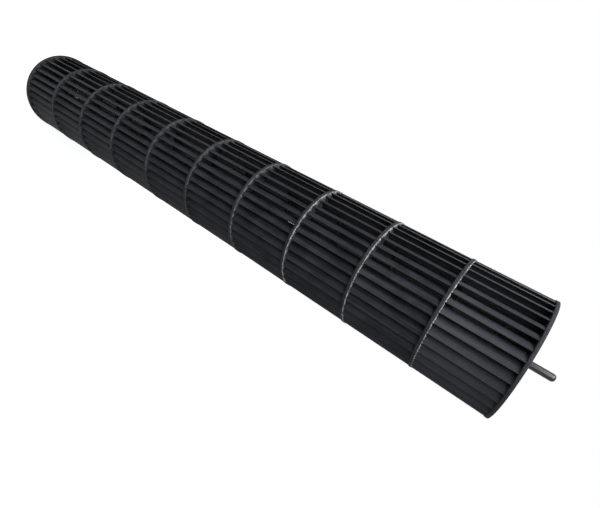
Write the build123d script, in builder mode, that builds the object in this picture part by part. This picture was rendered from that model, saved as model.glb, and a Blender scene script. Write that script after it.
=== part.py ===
"""Cross flow fan: the long bladed wheel that moves the air in a split air conditioner.

The wheel stands on its motor end. The origin is the centre of the motor end's face, and +Z is the axis of
rotation, from the motor end to the pin end. Each moulded segment is a row of blades with a ring at its pin
side, and the free ends of its blades are welded to the ring of the segment below it.
"""

import os
from math import acos, atan2, cos, degrees, hypot, radians, sin

from build123d import *

os.makedirs("parts", exist_ok=True)

# ------------------------------------------------------------------ driving dimensions, mm and degrees

# Wheel
wheel_diameter = 98.0  # over the rings
segment_count = 10
segment_turn = -5.7  # each segment is welded on turned by this much from the one below it
first_turn = 2.9  # from the set screw's side to the first segment's first blade

# Rings and blades
ring_thickness = 2.5
ring_width = 12.4  # radial, from the rim to the hole
tip_inset = 0.8  # the blades' tips lie this far inside the rim
blade_depth = 10.7  # radial, from the inner edge to the tip
blade_count = 35
blade_length = 61.0  # between two rings
last_blade_length = 58.5  # in the segment at the pin end
tip_angle = 27.0  # between the blade and the rim at the tip
inner_angle = 90.0  # the same at the inner edge, where the blade stands radially
blade_thickness = 1.3  # at mid depth
pitch_waves = 3  # the blades bunch and spread this many times in a turn, to soften the fan's tone
pitch_swing = 0.85  # how far a blade strays from even spacing

# Motor end plate
motor_plate_thickness = 3.5
motor_web_thickness = 2.5
rim_band = 7.0  # the thick band at the rim, radial
collar_wall = 2.5
collar_length = 12.0
motor_rib_count = 8
motor_rib_thickness = 1.6
motor_rib_height = 6.0

# Damper and hub
damper_diameter = 54.0
damper_length = 10.0
damper_setback = 3.0  # the damper and the hub start this far in from the plate's outer face
hub_diameter = 24.0
hub_length = 27.0
hub_bore = 8.0  # the motor shaft's diameter
screw_diameter = 5.0
screw_length = 6.0
screw_socket = 2.5  # across flats
screw_socket_depth = 2.4
screw_to_hub_end = 7.0  # from the screw's axis to the hub's inner end
screw_gap = 0.4  # from the screw's point to the bore

# Pin end plate
pin_plate_thickness = 2.5
pin_plate_dish = 3.0  # the plate's middle is set in by this much
boss_diameter = 20.0
boss_length = 22.0  # from the dished plate's outer side towards the motor end
boss_nose = 5.0  # the boss stands this far out of the dish
pin_rib_count = 6
pin_rib_thickness = 1.8

# Shaft pin
pin_diameter = 6.0
pin_free_length = 21.0  # beyond the boss
pin_seat_depth = 18.0  # held in the boss
pin_seat_diameter = 7.0  # the held end is thicker, so that it can't be pulled out
pin_chamfer = 0.8

# ------------------------------------------------------------------ worked out from them

wheel_radius = wheel_diameter / 2
tip_radius = wheel_radius - tip_inset
inner_radius = tip_radius - blade_depth
hole_radius = wheel_radius - ring_width
segment_pitch = blade_length + ring_thickness
last_base = motor_plate_thickness + (segment_count - 1) * segment_pitch
plate_base = last_base + last_blade_length
wheel_top = plate_base + pin_plate_thickness
rim_sides = 2 * blade_count

# Rims and steps are drawn with straight sides, one or two to each blade, a hair off the true circle.

# The blade's mean line is an arc. It meets the inner circle at inner_angle and the tip circle at tip_angle.
inner_run = inner_radius * cos(radians(inner_angle))
tip_run = tip_radius * cos(radians(tip_angle))
camber_radius = (tip_radius**2 - inner_radius**2) / 2 / (tip_run - inner_run)
camber_x = inner_radius - camber_radius * cos(radians(inner_angle))
camber_y = camber_radius * sin(radians(inner_angle))
camber_offset = hypot(camber_x, camber_y)
tip_swing = acos((tip_radius**2 + camber_offset**2 - camber_radius**2) / 2 / tip_radius / camber_offset)
tip_turn = degrees(atan2(camber_y, camber_x) - tip_swing)
camber_turn = tip_turn + inner_angle - tip_angle


def blade_point(share, side):
    """A point on the blade's outline: share runs from 0 at the inner edge to 1 at the tip.

    The side is 1 on the bulging face and -1 on the hollow one. The blade is thickest half way and thins
    to nothing at both edges.
    """
    heading = radians(camber_turn * share - inner_angle)
    reach = camber_radius + side * blade_thickness / 2 * sin(radians(180 * share))
    return (camber_x + reach * cos(heading), camber_y + reach * sin(heading))


# ------------------------------------------------------------------ blades

bulging_side = [blade_point(share, 1) for share in (0, 1 / 3, 2 / 3, 1)]
hollow_middle = blade_point(1 / 2, -1)

with BuildSketch() as blade_outline:
    with BuildLine():
        Polyline(*bulging_side, hollow_middle, close=True)
    make_face()

even_turns = [360 * number / blade_count for number in range(blade_count)]
blade_turns = [turn + pitch_swing * sin(radians(pitch_waves * turn)) for turn in even_turns]

with BuildSketch() as blade_row:
    with Locations(*[Location((0, 0, 0), (0, 0, turn)) for turn in blade_turns]):
        add(blade_outline.sketch)

# ------------------------------------------------------------------ the common segment: blades and ring

with BuildPart() as segment:
    with BuildSketch(Plane.XY.offset(blade_length)):
        RegularPolygon(wheel_radius, rim_sides)
        RegularPolygon(hole_radius, blade_count, major_radius=False, mode=Mode.SUBTRACT)
    extrude(amount=ring_thickness)
    with BuildSketch():
        add(blade_row.sketch)
    extrude(amount=blade_length)

for number in range(segment_count - 1):
    base = motor_plate_thickness + number * segment_pitch
    with BuildPart() as blade_segment:
        with Locations(Location((0, 0, base), (0, 0, first_turn + number * segment_turn))):
            add(segment.part)
    name = f"blade_segment_{number + 1:02d}"
    blade_segment.part.label = name
    export_step(blade_segment.part, f"parts/{name}.step")

# ------------------------------------------------------------------ shaft pin

step_radius = inner_radius - blade_thickness
dish_radius = step_radius - pin_plate_thickness
boss_radius = boss_diameter / 2
floor_outer = wheel_top - pin_plate_dish
floor_inner = floor_outer - pin_plate_thickness
boss_base = floor_outer - boss_length
boss_top = floor_outer + boss_nose
pin_base = boss_top - pin_seat_depth

with BuildPart() as shaft_pin:
    with BuildSketch(Plane.XY.offset(pin_base)):
        Circle(pin_seat_diameter / 2)
    extrude(amount=pin_seat_depth)
    with BuildSketch(Plane.XY.offset(boss_top)):
        Circle(pin_diameter / 2)
    extrude(amount=pin_free_length)
    chamfer(shaft_pin.edges().group_by(Axis.Z)[-1], pin_chamfer)

shaft_pin.part.label = "shaft_pin"
export_step(shaft_pin.part, "parts/shaft_pin.step")

# ------------------------------------------------------------------ last segment: blades and pin end plate

with BuildPart() as pin_rib:
    with BuildSketch(Plane.XZ):
        with BuildLine():
            Polyline(
                (0, boss_base),
                (boss_radius, boss_base),
                (dish_radius, floor_inner),
                (0, floor_inner),
                close=True,
            )
        make_face()
    extrude(amount=pin_rib_thickness / 2, both=True)

with BuildPart() as last_segment:
    # a flat band that carries the blades, and a floor that is set in like a dish
    with BuildSketch(Plane.XY.offset(plate_base)):
        RegularPolygon(wheel_radius, rim_sides)
    extrude(amount=pin_plate_thickness)
    with BuildSketch(Plane.XY.offset(floor_inner)):
        RegularPolygon(step_radius, blade_count)
    extrude(amount=plate_base - floor_inner)
    with BuildSketch(Plane.XY.offset(floor_outer)):
        RegularPolygon(dish_radius, blade_count)
    extrude(amount=pin_plate_dish, mode=Mode.SUBTRACT)
    # the boss runs through the floor, and ribs brace it inside the wheel
    with BuildSketch(Plane.XY.offset(boss_base)):
        Circle(boss_radius)
    extrude(amount=boss_top - boss_base)
    with PolarLocations(0, pin_rib_count):
        add(pin_rib.part)
    with BuildSketch(Plane.XY.offset(last_base)):
        add(blade_row.sketch, rotation=first_turn + (segment_count - 1) * segment_turn)
    extrude(amount=last_blade_length)
    add(shaft_pin.part, mode=Mode.SUBTRACT)

last_name = f"blade_segment_{segment_count:02d}"
last_segment.part.label = last_name
export_step(last_segment.part, f"parts/{last_name}.step")

# ------------------------------------------------------------------ hub and its set screw

hub_radius = hub_diameter / 2
bore_radius = hub_bore / 2
hub_top = damper_setback + hub_length
screw_height = hub_top - screw_to_hub_end
screw_point = bore_radius + screw_gap

with BuildPart() as hub:
    with BuildSketch(Plane.XY.offset(damper_setback)):
        Circle(hub_radius)
        Circle(bore_radius, mode=Mode.SUBTRACT)
    extrude(amount=hub_length)
    with BuildSketch(Plane.YZ):
        with Locations((0, screw_height)):
            Circle(screw_diameter / 2)
    extrude(amount=hub_diameter, mode=Mode.SUBTRACT)

hub.part.label = "hub"
export_step(hub.part, "parts/hub.step")

with BuildPart() as set_screw:
    with BuildSketch(Plane.YZ.offset(screw_point)):
        with Locations((0, screw_height)):
            Circle(screw_diameter / 2)
    extrude(amount=screw_length)
    with BuildSketch(Plane.YZ.offset(screw_point + screw_length - screw_socket_depth)):
        with Locations((0, screw_height)):
            RegularPolygon(screw_socket / 2, 6, major_radius=False)
    extrude(amount=screw_socket_depth, mode=Mode.SUBTRACT)

set_screw.part.label = "set_screw"
export_step(set_screw.part, "parts/set_screw.step")

# ------------------------------------------------------------------ rubber damper

damper_radius = damper_diameter / 2

with BuildPart() as rubber_damper:
    with BuildSketch(Plane.XY.offset(damper_setback)):
        Circle(damper_radius)
        Circle(hub_radius, mode=Mode.SUBTRACT)
    extrude(amount=damper_length)

rubber_damper.part.label = "rubber_damper"
export_step(rubber_damper.part, "parts/rubber_damper.step")

# ------------------------------------------------------------------ motor end plate

band_inner = wheel_radius - rim_band
web_base = motor_plate_thickness - motor_web_thickness
collar_radius = damper_radius + collar_wall
rib_top = motor_plate_thickness + motor_rib_height

with BuildPart() as motor_rib:
    with BuildSketch(Plane.XZ):
        with BuildLine():
            Polyline(
                (damper_radius, motor_plate_thickness),
                (hole_radius, motor_plate_thickness),
                (collar_radius, rib_top),
                (damper_radius, rib_top),
                close=True,
            )
        make_face()
    extrude(amount=motor_rib_thickness / 2, both=True)

with BuildPart() as motor_end_plate:
    # the plate, recessed inside the band at its rim
    with BuildSketch():
        RegularPolygon(wheel_radius, rim_sides)
    extrude(amount=motor_plate_thickness)
    with BuildSketch():
        RegularPolygon(band_inner, blade_count)
    extrude(amount=web_base, mode=Mode.SUBTRACT)
    # the collar round the damper, braced by ribs on the inside
    with BuildSketch(Plane.XY.offset(web_base)):
        RegularPolygon(collar_radius, blade_count)
    extrude(amount=collar_length)
    with PolarLocations(0, motor_rib_count):
        add(motor_rib.part)
    with BuildSketch(Plane.XY.offset(web_base)):
        Circle(damper_radius)
    extrude(amount=collar_length, mode=Mode.SUBTRACT)

motor_end_plate.part.label = "motor_end_plate"
export_step(motor_end_plate.part, "parts/motor_end_plate.step")
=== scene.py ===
"""The looks of a cross flow fan: the long bladed blower wheel of a split air conditioner."""
import random
from math import acos, atan2, cos, pi, radians, sin

import bpy
from mathutils import Matrix, Vector


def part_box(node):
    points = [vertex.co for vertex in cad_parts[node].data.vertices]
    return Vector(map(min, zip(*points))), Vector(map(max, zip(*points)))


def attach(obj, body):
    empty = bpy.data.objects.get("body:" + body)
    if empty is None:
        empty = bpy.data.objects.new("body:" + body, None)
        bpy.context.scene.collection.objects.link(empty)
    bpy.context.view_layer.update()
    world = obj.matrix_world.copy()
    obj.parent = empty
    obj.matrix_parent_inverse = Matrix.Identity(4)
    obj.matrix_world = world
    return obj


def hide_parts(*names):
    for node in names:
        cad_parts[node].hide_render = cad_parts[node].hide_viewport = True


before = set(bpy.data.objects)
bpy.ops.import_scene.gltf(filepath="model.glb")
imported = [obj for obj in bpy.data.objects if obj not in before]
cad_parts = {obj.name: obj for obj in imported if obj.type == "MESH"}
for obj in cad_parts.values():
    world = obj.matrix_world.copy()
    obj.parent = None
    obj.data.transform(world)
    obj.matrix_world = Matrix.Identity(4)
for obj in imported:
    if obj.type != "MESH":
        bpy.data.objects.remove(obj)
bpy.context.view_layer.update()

scene = bpy.context.scene
scene.view_settings.view_transform = "Standard"
mm = 0.001

# ------------------------------------------------------------------ camera
# The view is from beside the pin end, along the wheel towards the motor end. The camera is rolled, so that the
# wheel runs down to the right.

camera_place = Vector((-11.2, -338.1, 601.0)) * mm
camera_aim = Vector((17.65, -15.1, 446.9)) * mm
camera_roll = radians(121.65)
camera_data = bpy.data.cameras.new("camera")
camera_data.lens = 24.138
camera_data.sensor_width = 36.0
camera_data.clip_start = 0.01
camera_data.clip_end = 50.0
camera = bpy.data.objects.new("camera", camera_data)
scene.collection.objects.link(camera)
level = (camera_aim - camera_place).to_track_quat("-Z", "Y").to_matrix().to_4x4()
camera.matrix_world = Matrix.Translation(camera_place) @ level @ Matrix.Rotation(camera_roll, 4, "Z")
scene.camera = camera


# ------------------------------------------------------------------ floor, backdrop and light
# A plain pale floor under the motor end, a world that is seen as white, and three soft lamps on the side that the
# camera sees.

class Socket:
    """A shader socket that can be written as an expression: every operator adds its Math node."""

    def __init__(self, finish, output):
        self.finish = finish
        self.output = output

    def maths(self, operation, first, second):
        return self.finish.add("ShaderNodeMath", {"operation": operation}, [first, second])

    def __add__(self, other):
        return self.maths("ADD", self, other)

    __radd__ = __add__

    def __mul__(self, other):
        return self.maths("MULTIPLY", self, other)

    __rmul__ = __mul__

    def __sub__(self, other):
        return self.maths("SUBTRACT", self, other)

    def __rsub__(self, other):
        return self.maths("SUBTRACT", other, self)

    def __truediv__(self, other):
        return self.maths("DIVIDE", self, other)

    def __pow__(self, other):
        return self.maths("POWER", self, other)

    def at_least(self, least):
        """The same mask, but running from the least share to 1."""
        return least + (1.0 - least) * self


class Finish:
    """The nodes of one procedural material, or of the world. Patterns read Object coordinates."""

    def __init__(self, holder):
        self.holder = holder
        holder.use_nodes = True
        self.tree = holder.node_tree
        self.tree.nodes.clear()

    def add(self, kind, settings=None, values=None, output=0):
        """Adds a node with its settings, then the values or links of its sockets, and gives one of its outputs."""
        node = self.tree.nodes.new(kind)
        for key, value in (settings or {}).items():
            setattr(node, key, value)
        pairs = values.items() if isinstance(values, dict) else enumerate(values or [])
        for key, value in pairs:
            if isinstance(value, Socket):
                self.tree.links.new(value.output, node.inputs[key])
            else:
                node.inputs[key].default_value = value
        return Socket(self, node.outputs[output]) if node.outputs else None

    def between(self, value, low, high):
        """Rises softly from 0 to 1 while the value goes from low to high."""
        return self.add(
            "ShaderNodeMapRange",
            {"interpolation_type": "SMOOTHSTEP"},
            {"Value": value, "From Min": low, "From Max": high},
        )

    def band(self, value, rise, fall):
        """Is 1 between two soft edges, each given by the values at its start and its end."""
        return self.between(value, *rise) * (1.0 - self.between(value, *fall))

    def blend(self, share, first, second):
        """Goes from the first colour to the second."""
        return self.add("ShaderNodeMix", {"data_type": "RGBA"}, {0: share, 6: first, 7: second}, 2)

    def noise(self, place, scale, detail=2.0, stretch=(1.0, 1.0, 1.0)):
        """Noise with so many grains in a metre, drawn out where the stretch is under 1."""
        place = self.add("ShaderNodeMapping", None, {"Vector": place, "Scale": stretch})
        return self.add("ShaderNodeTexNoise", None, {"Vector": place, "Scale": scale, "Detail": detail})


white = (1.0, 1.0, 1.0, 1.0)
floor_colour = (0.48, 0.48, 0.48, 1.0)
floor_glow = 0.80
floor_near = 0.6
floor_far = 1.6
floor_size = 12.0
world_colour = (0.86, 0.89, 0.94, 1.0)
world_strength = 0.40


def seen_straight(finish):
    """1 for what the camera sees, straight or in a mirror or through glass."""
    seen = finish.add("ShaderNodeLightPath", output="Is Camera Ray")
    for ray in ("Is Glossy Ray", "Is Transmission Ray"):
        seen = seen.maths("MAXIMUM", seen, finish.add("ShaderNodeLightPath", output=ray))
    return seen


bpy.ops.object.select_all(action="DESELECT")
bpy.ops.mesh.primitive_plane_add(size=floor_size)
floor = bpy.context.object
floor.name = "floor"
paper = Finish(bpy.data.materials.new("floor_paper"))
place = paper.add("ShaderNodeTexCoord", output="Object")
distance = paper.add("ShaderNodeVectorMath", {"operation": "LENGTH"}, [place], "Value")
away = paper.between(distance, floor_near, floor_far)
matt = paper.add("ShaderNodeBsdfDiffuse", None, {"Color": floor_colour})
glow = paper.add("ShaderNodeEmission", None, {"Color": white, "Strength": floor_glow})
sweep = paper.add("ShaderNodeEmission", None, {"Color": white, "Strength": 1.0})
lit = paper.add("ShaderNodeAddShader", None, [matt, glow])
lit = paper.add("ShaderNodeMixShader", None, [away, lit, sweep])
lit = paper.add("ShaderNodeMixShader", None, [seen_straight(paper), matt, lit])
paper.add("ShaderNodeOutputMaterial", None, [lit])
floor.data.materials.append(paper.holder)

scene.world = bpy.data.worlds.new("studio")
studio = Finish(scene.world)
dim = studio.add("ShaderNodeBackground", None, {"Color": world_colour, "Strength": world_strength})
bright = studio.add("ShaderNodeBackground", None, {"Color": white, "Strength": 1.0})
backdrop = studio.add("ShaderNodeMixShader", None, [seen_straight(studio), dim, bright])
studio.add("ShaderNodeOutputWorld", None, [backdrop])

lamps = {
    # name: (place, aim, size, watts), in metres
    "over_the_pin_end": ((-0.42, -0.30, 1.02), (0.0, 0.0, 0.60), 0.42, 6.0),
    "along_the_top": ((-1.10, -0.38, 0.95), (0.0, 0.0, 0.50), 0.6, 3.0),
    "beside_the_viewer": ((-0.13, -0.60, 0.95), (0.0, 0.0, 0.58), 0.42, 2.8),
}
for name, (place, aim, size, watts) in lamps.items():
    lamp_data = bpy.data.lights.new(name, "AREA")
    lamp_data.shape = "DISK"
    lamp_data.size = size
    lamp_data.energy = watts
    lamp = bpy.data.objects.new(name, lamp_data)
    towards = (Vector(aim) - Vector(place)).to_track_quat("-Z", "Y").to_matrix().to_4x4()
    lamp.matrix_world = Matrix.Translation(place) @ towards
    scene.collection.objects.link(lamp)

# ------------------------------------------------------------------ hub
# The hub that slides on the motor's shaft, turned from aluminium bar. Its ends are chamfered, a groove keys it
# in the rubber, and a tapped hole takes the set screw.

hub_low, hub_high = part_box("hub")
screw_low, screw_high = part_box("set_screw")
screw_gap = 0.4 * mm  # from the screw's point to the bore
screw_radius = (screw_high.z - screw_low.z) / 2
screw_height = (screw_high.z + screw_low.z) / 2
hub_radius = hub_high.x
bore_radius = screw_low.x - screw_gap
hub_sides = 96
hub_edge = 0.6 * mm
groove_base = hub_low.z + 3.0 * mm
groove_depth = 0.8 * mm
groove_width = 1.6 * mm
merge_distance = 0.002 * mm
drill_sides = 32
drill_length = 1.5 * hub_radius
aluminium_dark = (0.50, 0.51, 0.52, 1.0)
aluminium_pale = (0.78, 0.79, 0.80, 1.0)


def start_mesh(name, add_primitive, scale=(1.0, 1.0, 1.0), **size):
    """A new primitive under its own name, alone in the selection and with its place in its mesh."""
    bpy.ops.object.select_all(action="DESELECT")
    add_primitive(**size)
    piece = bpy.context.object
    piece.scale = scale
    bpy.ops.object.transform_apply(location=True, rotation=True, scale=True)
    piece.name = name
    piece.data.name = name
    return piece


def turned(name, outline, sides):
    """A turned or round moulded piece: a ring drawn out from corner to corner of its closed outline."""
    radius, height = outline[0]
    piece = start_mesh(
        name, bpy.ops.mesh.primitive_circle_add, vertices=sides, radius=radius, location=(0.0, 0.0, height)
    )
    bpy.ops.object.mode_set(mode="EDIT")
    bpy.ops.mesh.select_all(action="SELECT")
    for next_radius, next_height in outline[1:] + outline[:1]:
        bpy.ops.mesh.extrude_edges_move()
        grow = next_radius / radius
        bpy.ops.transform.resize(value=(grow, grow, 1.0), center_override=(0.0, 0.0, height))
        bpy.ops.transform.translate(value=(0.0, 0.0, next_height - height))
        radius, height = next_radius, next_height
    close_and_point_out()
    return piece


def close_and_point_out():
    """Merges the active piece's doubles and turns every face outwards."""
    bpy.ops.object.mode_set(mode="EDIT")
    bpy.ops.mesh.select_all(action="SELECT")
    bpy.ops.mesh.remove_doubles(threshold=merge_distance)
    bpy.ops.mesh.normals_make_consistent(inside=False)
    bpy.ops.object.mode_set(mode="OBJECT")


def alone(piece):
    """Selects just this piece and makes it the active one."""
    bpy.ops.object.select_all(action="DESELECT")
    piece.select_set(True)
    bpy.context.view_layer.objects.active = piece


def soften(piece, width, segments=2, sharp=30.0):
    """Rounds the piece's edges that are sharper than so many degrees."""
    alone(piece)
    edge = piece.modifiers.new("edge", "BEVEL")
    edge.width = width
    edge.segments = segments
    edge.limit_method = "ANGLE"
    edge.angle_limit = radians(sharp)
    bpy.ops.object.modifier_apply(modifier=edge.name)


def shade(piece, sharp=35.0):
    """Shades the piece smooth, apart from its edges sharper than so many degrees."""
    alone(piece)
    bpy.ops.object.shade_smooth_by_angle(angle=radians(sharp))


def cut_out(piece, tool):
    """Cuts a tool's shape out of the piece."""
    alone(piece)
    cut = piece.modifiers.new("cut", "BOOLEAN")
    cut.operation = "DIFFERENCE"
    cut.solver = "EXACT"
    cut.object = tool
    bpy.ops.object.modifier_apply(modifier=cut.name)
    bpy.data.objects.remove(tool)


hub_outline = [
    (bore_radius, hub_low.z),
    (hub_radius, hub_low.z),
    (hub_radius, groove_base),
    (hub_radius - groove_depth, groove_base),
    (hub_radius - groove_depth, groove_base + groove_width),
    (hub_radius, groove_base + groove_width),
    (hub_radius, hub_high.z),
    (bore_radius, hub_high.z),
]
hub = turned("turned_hub", hub_outline, hub_sides)
soften(hub, hub_edge)
drill = start_mesh(
    "screw_hole",
    bpy.ops.mesh.primitive_cylinder_add,
    vertices=drill_sides,
    radius=screw_radius,
    depth=drill_length,
    location=((drill_length + bore_radius) / 2, 0.0, screw_height),
    rotation=(0.0, pi / 2, 0.0),
)
cut_out(hub, drill)
shade(hub)

metal = Finish(bpy.data.materials.new("turned_aluminium"))
place = metal.add("ShaderNodeTexCoord", output="Object")
tool_marks = metal.noise(place, scale=9000.0, detail=1.0, stretch=(0.02, 0.02, 1.0))
stain = metal.noise(place, scale=160.0, detail=4.0)
dulled = metal.between(stain * 0.7 + tool_marks * 0.3, 0.35, 0.65)
metal.add("ShaderNodeOutputMaterial", None, [metal.add("ShaderNodeBsdfPrincipled", None, {
    "Base Color": metal.blend(dulled, aluminium_dark, aluminium_pale),
    "Metallic": 1.0,
    "Roughness": 0.24 + 0.16 * stain,
    "Normal": metal.add("ShaderNodeBump", None, {"Strength": 0.25, "Distance": 0.02 * mm, "Height": tool_marks}),
})])
hub.data.materials.append(metal.holder)
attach(hub, "root")
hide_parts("hub")

# ------------------------------------------------------------------ set screw
# An M5 socket set screw of blackened steel, which clamps the hub on the motor's shaft. The CAD solid has its
# true shape, so it stays and takes the finish.

oxide_dark = (0.03, 0.03, 0.035, 1.0)
oxide_pale = (0.09, 0.09, 0.10, 1.0)

blackened = Finish(bpy.data.materials.new("blackened_steel"))
place = blackened.add("ShaderNodeTexCoord", output="Object")
bloom = blackened.noise(place, scale=900.0, detail=3.0)
blackened.add("ShaderNodeOutputMaterial", None, [blackened.add("ShaderNodeBsdfPrincipled", None, {
    "Base Color": blackened.blend(bloom, oxide_dark, oxide_pale),
    "Metallic": 1.0,
    "Roughness": 0.30 + 0.20 * bloom,
    "Normal": blackened.add("ShaderNodeBump", None, {"Strength": 0.2, "Distance": 0.01 * mm, "Height": bloom}),
})])
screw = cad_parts["set_screw"]
screw.data.materials.clear()
screw.data.materials.append(blackened.holder)

# ------------------------------------------------------------------ rubber damper
# A ring of soft black rubber, vulcanised round the hub and held in the end plate's collar. It keeps the
# motor's hum out of the wheel. Its faces are waisted and moulded with a groove.

damper_low, damper_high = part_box("rubber_damper")
damper_radius = damper_high.x
damper_waist = 1.6 * mm
damper_land = 2.2 * mm
damper_edge = 0.5 * mm
rubber_dark = (0.010, 0.010, 0.010, 1.0)
rubber_pale = (0.030, 0.030, 0.029, 1.0)

damper_outline = [
    (hub_radius, damper_low.z),
    (hub_radius + damper_land, damper_low.z),
    (hub_radius + 2 * damper_land, damper_low.z + damper_waist),
    (damper_radius - 2 * damper_land, damper_low.z + damper_waist),
    (damper_radius - damper_land, damper_low.z),
    (damper_radius, damper_low.z),
    (damper_radius, damper_high.z),
    (damper_radius - damper_land, damper_high.z),
    (damper_radius - 2 * damper_land, damper_high.z - damper_waist),
    (hub_radius + 2 * damper_land, damper_high.z - damper_waist),
    (hub_radius + damper_land, damper_high.z),
    (hub_radius, damper_high.z),
]
damper = turned("damper_ring", damper_outline, hub_sides)
soften(damper, damper_edge, segments=3)
shade(damper, sharp=50.0)

rubber = Finish(bpy.data.materials.new("damper_rubber"))
place = rubber.add("ShaderNodeTexCoord", output="Object")
bloom = rubber.noise(place, scale=220.0, detail=4.0)
skin = rubber.noise(place, scale=3500.0)
rubber.add("ShaderNodeOutputMaterial", None, [rubber.add("ShaderNodeBsdfPrincipled", None, {
    "Base Color": rubber.blend(rubber.between(bloom, 0.40, 0.75), rubber_dark, rubber_pale),
    "Roughness": 0.62 + 0.2 * bloom,
    "Normal": rubber.add("ShaderNodeBump", None, {"Strength": 0.3, "Distance": 0.03 * mm, "Height": skin}),
})])
damper.data.materials.append(rubber.holder)
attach(damper, "root")
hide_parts("rubber_damper")

# ------------------------------------------------------------------ motor end plate
# A moulding of charcoal glass-filled plastic. It has a thick band at the rim, a thinner web, a collar that
# holds the damper, and eight ribs inside the wheel.

plate_low, plate_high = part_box("motor_end_plate")
rim_radius = plate_high.x
plate_thickness = 3.5 * mm
web_base = 1.0 * mm
rim_band = 7.0 * mm
band_inner = rim_radius - rim_band
collar_wall = 2.5 * mm
collar_radius = damper_radius + collar_wall
ring_width = 12.4 * mm
hole_radius = rim_radius - ring_width
rim_sides = 140
mould_edge = 0.35 * mm
rib_count = 8
rib_thickness = 1.6 * mm
rib_top = plate_thickness + 6.0 * mm
rib_edge = 0.25 * mm
rib_sink = 0.5 * mm  # into the collar or the boss
rib_root = 0.4 * mm  # into the plate

plate_outline = [
    (damper_radius, web_base),
    (band_inner, web_base),
    (band_inner, plate_low.z),
    (rim_radius, plate_low.z),
    (rim_radius, plate_thickness),
    (collar_radius, plate_thickness),
    (collar_radius, plate_high.z),
    (damper_radius, plate_high.z),
]
plate = turned("moulded_end_plate", plate_outline, rim_sides)
soften(plate, mould_edge)


def select_vertices(piece, chosen):
    """Goes to edit mode with just the vertices that the test picks."""
    bpy.ops.object.mode_set(mode="EDIT")
    bpy.ops.mesh.select_mode(type="VERT")
    bpy.ops.mesh.select_all(action="DESELECT")
    bpy.ops.object.mode_set(mode="OBJECT")
    for vertex in piece.data.vertices:
        vertex.select = chosen(vertex)
    bpy.ops.object.mode_set(mode="EDIT")


def join(pieces):
    """Makes one piece of several, under the first one's name."""
    bpy.ops.object.select_all(action="DESELECT")
    for piece in pieces:
        piece.select_set(True)
    bpy.context.view_layer.objects.active = pieces[0]
    bpy.ops.object.join()
    return bpy.context.object


def copy_of(piece, placed):
    """A copy with its own mesh, moved by a matrix."""
    copy = piece.copy()
    copy.data = piece.data.copy()
    copy.data.transform(placed)
    scene.collection.objects.link(copy)
    return copy


def make_rib(name, inner, outer, low, high, thickness, lean):
    """A radial rib with rounded edges: a slab whose outer end is lowered, or raised, by the lean."""
    rib = start_mesh(
        name,
        bpy.ops.mesh.primitive_cube_add,
        size=1.0,
        scale=(outer - inner, thickness, high - low),
        location=((inner + outer) / 2, 0.0, (low + high) / 2),
    )
    leaning = high if lean < 0 else low
    middle = (inner + outer) / 2
    select_vertices(rib, lambda v: v.co.x > middle and abs(v.co.z - leaning) < rib_edge)
    bpy.ops.transform.translate(value=(0.0, 0.0, lean))
    bpy.ops.object.mode_set(mode="OBJECT")
    soften(rib, rib_edge, segments=1)
    return rib


rib = make_rib(
    "rib",
    collar_radius - rib_sink,
    hole_radius,
    plate_thickness - rib_root,
    rib_top,
    rib_thickness,
    lean=plate_thickness - rib_top,
)
ribs = [rib] + [copy_of(rib, Matrix.Rotation(2 * pi * n / rib_count, 4, "Z")) for n in range(1, rib_count)]
plate = join([plate] + ribs)
shade(plate)

# the segments that stand on the plate, and how far out their blades reach
segment_count = 10
segment_pitch = 63.5 * mm
last_weld = plate_thickness + (segment_count - 1) * segment_pitch
tip_inset = 0.8 * mm
tip_radius = rim_radius - tip_inset

# where the plastic is paler, by height and by distance from the axis: each mask's start and its full strength
land_inner = tip_radius - 4.0 * mm
rim_edge = (tip_radius + 0.40 * mm, tip_radius + 0.55 * mm)
tip_edge = (tip_radius - 0.60 * mm, tip_radius - 0.40 * mm)
tip_facing = (0.60, 0.80)  # how squarely an end face looks round the wheel
bead_edge = (tip_radius + 0.02 * mm, tip_radius + 0.12 * mm)
bead_heights = ((-0.08 * mm, 0.04 * mm), (0.80 * mm, 0.90 * mm))  # over the weld: where it comes and goes
land_heights = ((-0.15 * mm, -0.02 * mm), (0.10 * mm, 0.25 * mm))
paler_toward_pin = (360.0 * mm, 440.0 * mm)  # the beads and lands grow paler here, on the way to the pin end

plastic_dark = (0.0085, 0.0090, 0.0112, 1.0)
plastic_pale = (0.0245, 0.0255, 0.0300, 1.0)
last_colour = (0.052, 0.053, 0.061, 1.0)  # the last segment is paler than the others
# this colour serves the rims' wear and the blades' end faces; on the end faces it is partly wear, partly a painted
# highlight
worn_and_highlight_colour = (0.170, 0.171, 0.178, 1.0)
# pale colour of the beads and lands: partly weld whitening, partly painted light (a painted highlight on the
# ring's edge, painted light on its pin-side face)
whitening_and_painted_light_colour = (0.60, 0.60, 0.605, 1.0)
last_share = 0.30
# the end faces' share: partly wear, partly a painted highlight line along the tips
tip_wear_and_highlight_share = 0.42
rim_share = 0.12
# the bead's share: partly weld flash, partly a painted highlight on the ring's edge
bead_flash_and_highlight_share = 0.62
# the land's share: partly weld whitening, partly painted light on the ring's pin-side face
land_whitening_and_light_share = 0.60


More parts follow.
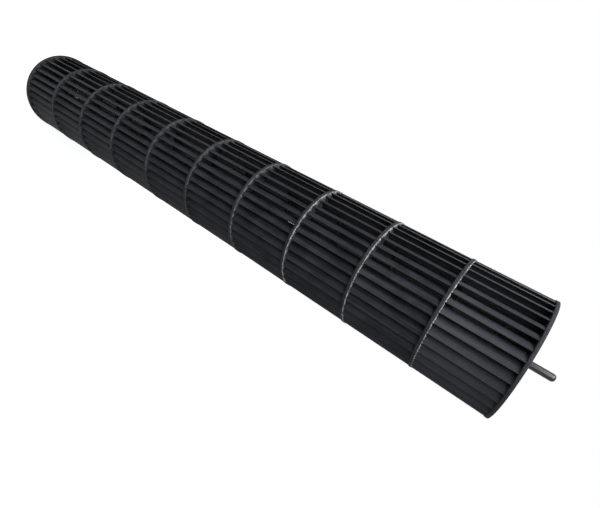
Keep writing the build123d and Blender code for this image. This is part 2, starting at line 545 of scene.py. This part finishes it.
def moulded_plastic():
    """Satin charcoal plastic, streaked along the flow of the mould.

    It is rubbed paler on the rims. The blades' end faces are paler too, partly worn and partly a painted
    highlight.
    At each weld the bead on the ring's edge and the land that the blades' feet stand on are whitish in patches,
    partly weld whitening and partly painted light: a painted highlight on the ring's edge, painted light on its
    pin-side face.
    """
    plastic = Finish(bpy.data.materials.new("moulded_plastic"))
    place = plastic.add("ShaderNodeTexCoord", output="Object")
    x, y, z = [plastic.add("ShaderNodeSeparateXYZ", None, [place], axis) for axis in "XYZ"]
    normal = plastic.add("ShaderNodeTexCoord", output="Normal")
    normal_x, normal_y = [plastic.add("ShaderNodeSeparateXYZ", None, [normal], axis) for axis in "XY"]
    radius = (x * x + y * y) ** 0.5
    round_the_wheel = (x * normal_y - y * normal_x) / radius
    stage = (z - plate_thickness) / segment_pitch + 0.5
    above_weld = (stage.maths("FRACT", stage, 0.0) - 0.5) * segment_pitch

    streaks = plastic.noise(place, scale=900.0, detail=3.0, stretch=(1.0, 1.0, 0.03))
    clouds = plastic.noise(place, scale=60.0, detail=4.0)
    grain = plastic.noise(place, scale=3000.0)
    flecks = plastic.noise(place, scale=1400.0)
    patches = plastic.noise(place, scale=260.0, detail=1.0)

    near_pin = plastic.between(z, *paler_toward_pin)
    pale_patches = near_pin.at_least(0.18) * plastic.between(patches, 0.43, 0.55).at_least(0.40)
    rim = plastic.between(radius, *rim_edge)
    last = plastic.between(z, last_weld, last_weld + 0.1 * mm)
    # the blades' end faces, paler: partly wear, partly a painted highlight line along the tips
    tip = (
        plastic.between(round_the_wheel, *tip_facing)
        * plastic.between(radius, *tip_edge)
        * flecks.at_least(0.55)
    )
    # the bead on the ring's edge, paler: partly weld flash, partly a painted highlight on the ring's bevelled edge
    bead = (
        plastic.band(above_weld, *bead_heights)
        * plastic.between(radius, *bead_edge)
        * plastic.between(flecks, 0.35, 0.60).at_least(0.6)
        * pale_patches
    )
    # the land on the ring's pin-side face, paler towards the rim: partly weld whitening, partly painted light on
    # that face
    land = (
        plastic.band(above_weld, *land_heights)
        * plastic.between(radius, land_inner, tip_radius).at_least(0.35)
        * (1.0 - 0.8 * rim)
        * plastic.between(flecks, 0.40, 0.60).at_least(0.5)
        * pale_patches
    )

    colour = plastic.blend(plastic.between(0.55 * streaks + 0.45 * clouds, 0.38, 0.62), plastic_dark, plastic_pale)
    colour = plastic.blend(last * last_share * (1.0 - 0.5 * rim), colour, last_colour)
    colour = plastic.blend(tip * tip_wear_and_highlight_share, colour, worn_and_highlight_colour)
    colour = plastic.blend(rim * rim_share * (1.0 - 0.6 * near_pin), colour, worn_and_highlight_colour)
    colour = plastic.blend(land * land_whitening_and_light_share, colour, whitening_and_painted_light_colour)
    colour = plastic.blend(bead * bead_flash_and_highlight_share, colour, whitening_and_painted_light_colour)
    relief = grain * 0.5 + streaks * 0.5
    plastic.add("ShaderNodeOutputMaterial", None, [plastic.add("ShaderNodeBsdfPrincipled", None, {
        "Base Color": colour,
        "Roughness": 0.52 + 0.14 * clouds + 0.22 * rim,
        "Specular IOR Level": 0.12,
        "Normal": plastic.add("ShaderNodeBump", None, {"Strength": 0.25, "Distance": 0.03 * mm, "Height": relief}),
    })])
    return plastic.holder


black_plastic = moulded_plastic()
plate.data.materials.clear()
plate.data.materials.append(black_plastic)
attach(plate, "root")
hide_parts("motor_end_plate")

# ------------------------------------------------------------------ blade segments
# Nine like mouldings of the same plastic. Each has thirty-five curved blades and a ring at the pin side. The
# free blade ends are hot-plate welded to the ring below, which leaves a small ragged bead round every foot.

blade_count = 35
blade_length = 61.0 * mm
blade_depth = 10.7 * mm
blade_thickness = 1.3 * mm
blade_steps = 6
edge_share = 0.55  # of the middle's thickness
tip_angle = radians(27.0)
pitch_waves = 3
pitch_swing = radians(0.85)
first_turn = radians(2.9)
segment_turn = radians(-5.7)
ring_thickness = 2.5 * mm
seat_depth = 0.3 * mm  # the feet sink this far into the rings
foot_height = 0.6 * mm
foot_width = 0.22 * mm
rough_height = 1.5 * foot_height - seat_depth
ragged = 0.12 * mm
beyond = 1.0 * mm
inner_radius = tip_radius - blade_depth

# the blade's mean line is an arc that starts radially and meets the tip circle at tip_angle
camber_radius = (tip_radius**2 - inner_radius**2) / 2 / (tip_radius * cos(tip_angle))
camber_centre = Vector((inner_radius, camber_radius, 0.0))
tip_swing = acos(
    (tip_radius**2 + camber_centre.length_squared - camber_radius**2) / 2 / tip_radius / camber_centre.length
)
camber_turn = atan2(camber_radius, inner_radius) - tip_swing + pi / 2 - tip_angle

turns = [2 * pi * number / blade_count for number in range(blade_count)]
blade_turns = [turn + pitch_swing * sin(pitch_waves * turn) for turn in turns]

bead_radius = 0.42 * mm
bead_lift = 0.18 * mm
bead_sides = 6
bead_steps = 4
bead_taper = 0.3
bead_span = 0.62 * 2 * pi / blade_count
bead_start = radians(10.3)  # from a blade's inner edge round to the start of its bead
random.seed(7)


def share_of(point):
    """How far along the blade's mean line a point lies, from 0 at the inner edge to 1 at the tip."""
    return (atan2(point.y - camber_centre.y, point.x - camber_centre.x) + pi / 2) / camber_turn


def widen(piece, share, factor, low, high):
    """Makes the blade thicker or thinner at one place along its mean line, between two heights."""
    near = 0.3 / blade_steps
    select_vertices(piece, lambda v: abs(share_of(v.co) - share) < near and low < v.co.z < high)
    swing = camber_turn * share - pi / 2
    middle = camber_centre + camber_radius * Vector((cos(swing), sin(swing), 0.0))
    bpy.ops.transform.resize(value=(factor, factor, 1.0), center_override=middle)
    bpy.ops.object.mode_set(mode="OBJECT")


def make_blade(name, low, high):
    """One blade: a strip swept along the mean line, thinned to both edges and flared at both ends."""
    blade = start_mesh(
        name,
        bpy.ops.mesh.primitive_plane_add,
        size=1.0,
        scale=(high - low, blade_thickness, 1.0),
        location=(inner_radius, 0.0, (low + high) / 2),
        rotation=(0.0, pi / 2, 0.0),
    )
    bpy.ops.object.mode_set(mode="EDIT")
    bpy.ops.mesh.select_all(action="SELECT")
    bpy.ops.mesh.spin(steps=blade_steps, angle=camber_turn, center=camber_centre, axis=(0.0, 0.0, -1.0))
    for height in (low + foot_height, high - foot_height):
        bpy.ops.mesh.select_all(action="SELECT")
        bpy.ops.mesh.bisect(plane_co=(0.0, 0.0, height), plane_no=(0.0, 0.0, 1.0))
    bpy.ops.object.mode_set(mode="OBJECT")
    for step in range(blade_steps + 1):
        share = step / blade_steps
        swell = edge_share + (1 - edge_share) * sin(pi * share)
        flare = 1 + 2 * foot_width / (blade_thickness * swell)
        widen(blade, share, swell, low - beyond, high + beyond)
        widen(blade, share, flare, low - beyond, low + foot_height / 2)
        widen(blade, share, flare, high - foot_height / 2, high + beyond)
    return blade


def make_row(name, low, high):
    """The whole row of blades, which bunch and spread as they go round."""
    blade = make_blade(name, low, high)
    return join([blade] + [copy_of(blade, Matrix.Rotation(turn, 4, "Z")) for turn in blade_turns[1:]])


row = make_row("blades", -seat_depth, blade_length + seat_depth)
ring_outline = [
    (hole_radius, blade_length),
    (rim_radius, blade_length),
    (rim_radius, blade_length + ring_thickness),
    (hole_radius, blade_length + ring_thickness),
]
ring = turned("ring", ring_outline, rim_sides)
soften(ring, mould_edge)
pattern = join([row, ring])


def make_bead(name, height):
    """The ridge that welding squeezes out on the ring's edge, from one blade's foot to the next; its paleness is
    partly painted highlight.
    """
    bead = start_mesh(
        name,
        bpy.ops.mesh.primitive_circle_add,
        vertices=bead_sides,
        radius=bead_radius,
        location=(rim_radius - bead_radius, 0.0, height),
        rotation=(pi / 2, 0.0, 0.0),
    )
    bpy.ops.object.mode_set(mode="EDIT")
    bpy.ops.mesh.select_all(action="SELECT")
    bpy.ops.mesh.spin(steps=bead_steps, angle=bead_span, center=(0.0, 0.0, 0.0), axis=(0.0, 0.0, -1.0))
    bpy.ops.object.mode_set(mode="OBJECT")
    for turn in (0.0, bead_span):
        middle = Vector((rim_radius - bead_radius, 0.0, height))
        middle.rotate(Matrix.Rotation(turn, 3, "Z"))
        select_vertices(bead, lambda v: (v.co - middle).length < 1.5 * bead_radius)
        bpy.ops.transform.resize(value=(bead_taper, bead_taper, bead_taper), center_override=middle)
        bpy.ops.mesh.edge_face_add()
        bpy.ops.object.mode_set(mode="OBJECT")
    return bead


def set_segment(name, moulding, number):
    """Turns and lifts a moulding to its place on the stack, and roughens its weld bead."""
    base = plate_thickness + number * segment_pitch
    turned_by = first_turn + number * segment_turn
    segment = copy_of(moulding, Matrix.Translation((0.0, 0.0, base)) @ Matrix.Rotation(turned_by, 4, "Z"))
    segment.name = name
    segment.data.name = name
    for vertex in segment.data.vertices:
        if vertex.co.z < base + rough_height:
            push = Vector((random.uniform(-1, 1), random.uniform(-1, 1), random.uniform(-0.5, 1)))
            vertex.co += push * ragged
    bead = make_bead("bead", base + bead_lift)
    beads = [copy_of(bead, Matrix.Rotation(turned_by + turn + bead_start, 4, "Z")) for turn in blade_turns]
    bpy.data.objects.remove(bead)
    for bead in beads:
        for vertex in bead.data.vertices:
            vertex.co.z += random.uniform(-1, 1) * ragged
            vertex.co.xy *= 1 - random.uniform(0, 1) * ragged / rim_radius
    segment = join([segment] + beads)
    close_and_point_out()
    shade(segment, sharp=40.0)
    segment.data.materials.clear()
    segment.data.materials.append(black_plastic)
    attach(segment, "root")
    return segment


for number in range(segment_count - 1):
    segment = set_segment(f"moulded_segment_{number + 1:02d}", pattern, number)
    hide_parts(f"blade_segment_{number + 1:02d}")
bpy.data.objects.remove(pattern)

# ------------------------------------------------------------------ shaft pin
# The pin that runs in the bearing at the far end: ground steel, polished, with a rounded nose. Its thicker end
# is moulded into the last segment's boss.

pin_low, pin_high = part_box("shaft_pin")
seat_radius = pin_high.x
pin_radius = 3.0 * mm
boss_top = 638.0 * mm
nose_height = 2.4 * mm
nose_flat = 0.7 * mm
nose_turns = [radians(turn) for turn in (0, 18, 36, 54, 72, 90)]
pin_sides = 64
pole = 0.01 * mm  # the outline stops this far from the axis, and the poles are merged afterwards
# the steel's colour is painted dark: painted shade for the dark surroundings that the polished pin reflects
steel_dark_in_painted_shade = (0.034, 0.034, 0.036, 1.0)
steel_pale_in_painted_shade = (0.052, 0.052, 0.055, 1.0)

pin_outline = [
    (pole, pin_low.z),
    (seat_radius, pin_low.z),
    (seat_radius, boss_top),
    (pin_radius, boss_top),
]
for turn in nose_turns:
    reach = nose_flat + (pin_radius - nose_flat) * cos(turn)
    pin_outline.append((reach, pin_high.z - nose_height * (1 - sin(turn))))
pin_outline.append((pole, pin_high.z))
pin = turned("ground_pin", pin_outline, pin_sides)
select_vertices(pin, lambda v: v.co.xy.length < 2 * pole)
bpy.ops.mesh.remove_doubles(threshold=3 * pole)
bpy.ops.object.mode_set(mode="OBJECT")
shade(pin, sharp=40.0)

steel = Finish(bpy.data.materials.new("ground_steel"))
place = steel.add("ShaderNodeTexCoord", output="Object")
lines = steel.noise(place, scale=6000.0, stretch=(0.15, 0.15, 1.0))
haze = steel.noise(place, scale=300.0, detail=3.0)
steel.add("ShaderNodeOutputMaterial", None, [steel.add("ShaderNodeBsdfPrincipled", None, {
    "Base Color": steel.blend(haze, steel_dark_in_painted_shade, steel_pale_in_painted_shade),
    "Metallic": 1.0,
    "Roughness": 0.26 + 0.06 * haze,
    "Normal": steel.add("ShaderNodeBump", None, {"Strength": 0.02, "Distance": 0.01 * mm, "Height": lines}),
})])
pin.data.materials.append(steel.holder)
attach(pin, "root")
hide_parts("shaft_pin")

# ------------------------------------------------------------------ last segment and pin end plate
# The last moulding closes the wheel. Its blades are a little shorter and end in a flat band. The plate inside
# them is dished, with a long boss for the pin and six ribs behind it.

last_number = segment_count - 1
last_base = plate_thickness + last_number * segment_pitch
last_top = 636.0 * mm
last_plate = 2.5 * mm
last_length = last_top - last_plate - last_base
dish_depth = 3.0 * mm
step_radius = inner_radius - blade_thickness
dish_radius = step_radius - last_plate
dish_floor = last_top - dish_depth
boss_radius = 10.0 * mm
boss_length = 22.0 * mm
boss_base = dish_floor - boss_length
pin_rib_count = 6
pin_rib_thickness = 1.8 * mm

end_outline = [
    (seat_radius, boss_base),
    (boss_radius, boss_base),
    (boss_radius, dish_floor - last_plate),
    (step_radius, dish_floor - last_plate),
    (step_radius, last_top - last_plate),
    (rim_radius, last_top - last_plate),
    (rim_radius, last_top),
    (dish_radius, last_top),
    (dish_radius, dish_floor),
    (boss_radius, dish_floor),
    (boss_radius, boss_top),
    (seat_radius, boss_top),
]
end = turned("end", [(radius, height - last_base) for radius, height in end_outline], rim_sides)
soften(end, mould_edge)
rib_low = boss_base - last_base
rib_high = dish_floor - last_plate - last_base
pin_rib = make_rib(
    "pin_rib",
    boss_radius - rib_sink,
    dish_radius,
    rib_low,
    rib_high + rib_root,
    pin_rib_thickness,
    lean=rib_high - rib_low,
)
last_turn = first_turn + last_number * segment_turn
pin_ribs = [
    copy_of(pin_rib, Matrix.Rotation(2 * pi * n / pin_rib_count - last_turn, 4, "Z"))
    for n in range(pin_rib_count)
]
bpy.data.objects.remove(pin_rib)
last_row = make_row("last_blades", -seat_depth, last_length + seat_depth)
last_pattern = join([last_row, end] + pin_ribs)
last_segment = set_segment("moulded_segment_10", last_pattern, last_number)
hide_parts("blade_segment_10")
bpy.data.objects.remove(last_pattern)
